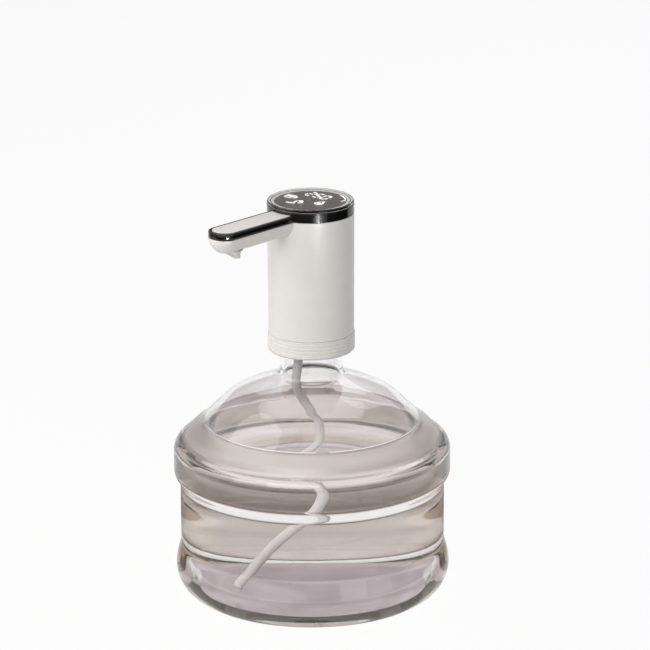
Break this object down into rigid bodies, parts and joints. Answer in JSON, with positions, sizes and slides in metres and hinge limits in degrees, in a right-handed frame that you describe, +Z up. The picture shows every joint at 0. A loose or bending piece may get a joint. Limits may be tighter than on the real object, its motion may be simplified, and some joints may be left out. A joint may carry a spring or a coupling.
{
  "type": "water jug pump",
  "caption": "Rechargeable touch-operated pump with a flat spout and a clear cap, standing on the neck of a squat clear water jug with its suction hose inside.",
  "frame": {"origin": "centre of the jug's base on the surface it stands on", "axes": "+Z up along the jug's and the pump's common axis; the spout points along -Y, so +X is to the right of someone who faces along +Y"},
  "size_m": [0.244, 0.244, 0.3573],
  "materials": {
    "jug_clear": "clear moulded polycarbonate, polished",
    "silicone": "translucent grey-white silicone, satin",
    "shell_white": "warm white moulded plastic, satin gloss",
    "plate_grey": "light grey moulded plastic, fine satin",
    "gloss_black": "piano black, polished",
    "panel_dark": "dark grey printed panel, smooth",
    "lens_clear": "clear polished acrylic",
    "inner_white": "natural white moulded plastic",
    "board": "green circuit board",
    "chip": "black moulded resin",
    "steel": "plated steel",
    "copper": "wound copper and laminated core",
    "magnet": "ferrite grey",
    "cell_blue": "shrink sleeve, plain",
    "lead_red": "insulated lead"
  },
  "bodies": {
    "jug": {"jug_shell": "jug_clear"},
    "collar": {"neck_collar": "silicone"},
    "pump": {"base_ring": "shell_white", "main_housing": "shell_white", "port_hinge_pin": "steel", "deck_screw_1": "steel", "deck_screw_2": "steel", "deck_screw_3": "steel", "deck_plate": "inner_white", "inlet_barb": "inner_white", "suction_hose": "silicone", "pump_cover": "inner_white", "pump_body": "inner_white", "shaft_seal": "chip", "idler_pin": "steel", "motor_bracket": "steel", "motor_can": "steel", "motor_end_cap": "chip", "motor_magnet": "magnet", "battery_cell": "cell_blue", "battery_clip": "inner_white", "main_board": "board", "controller_chip": "chip", "charging_port": "steel", "outlet_tube": "silicone", "spout_shell": "shell_white", "spout_nozzle": "shell_white", "spout_top_plate": "plate_grey", "bezel_screw_1": "steel", "bezel_screw_2": "steel", "bezel_screw_3": "steel", "top_bezel": "gloss_black", "display_board": "board", "panel_spacer": "inner_white", "touch_panel": "panel_dark", "digit_block": "inner_white", "touch_spring_1": "steel", "touch_spring_2": "steel", "touch_spring_3": "steel", "cap_lens": "lens_clear", "battery_lead": "lead_red", "motor_lead": "chip", "display_ribbon": "inner_white"},
    "motor_rotor": {"motor_shaft": "steel", "motor_armature": "copper", "drive_gear": "inner_white"},
    "idler": {"idler_gear": "inner_white"},
    "port_flap": {"port_cover": "shell_white"}
  },
  "joints": [
    {"name": "pump_lift", "type": "slide", "parent": "jug", "child": "collar", "axis": [0, 0, 1], "range_m": [0, 0.06]},
    {"name": "pump_swivel", "type": "hinge", "parent": "collar", "child": "pump", "pos_m": [0, 0, 0.235], "axis": [0, 0, 1], "continuous": true},
    {"name": "motor_spin", "type": "hinge", "parent": "pump", "child": "motor_rotor", "pos_m": [-0.0016, -0.00315, 0.28], "axis": [0, 0, 1], "continuous": true},
    {"name": "idler_spin", "type": "hinge", "parent": "pump", "child": "idler", "pos_m": [-0.0016, -0.01325, 0.256], "axis": [0, 0, 1], "continuous": true},
    {"name": "port_cover_hinge", "type": "hinge", "parent": "pump", "child": "port_flap", "pos_m": [0, 0.04, 0.2823], "axis": [1, 0, 0], "range_deg": [0, 110]}
  ],
  "couplings": [
    {"joint": "idler_spin", "follows": "motor_spin", "ratio": -1}
  ]
}
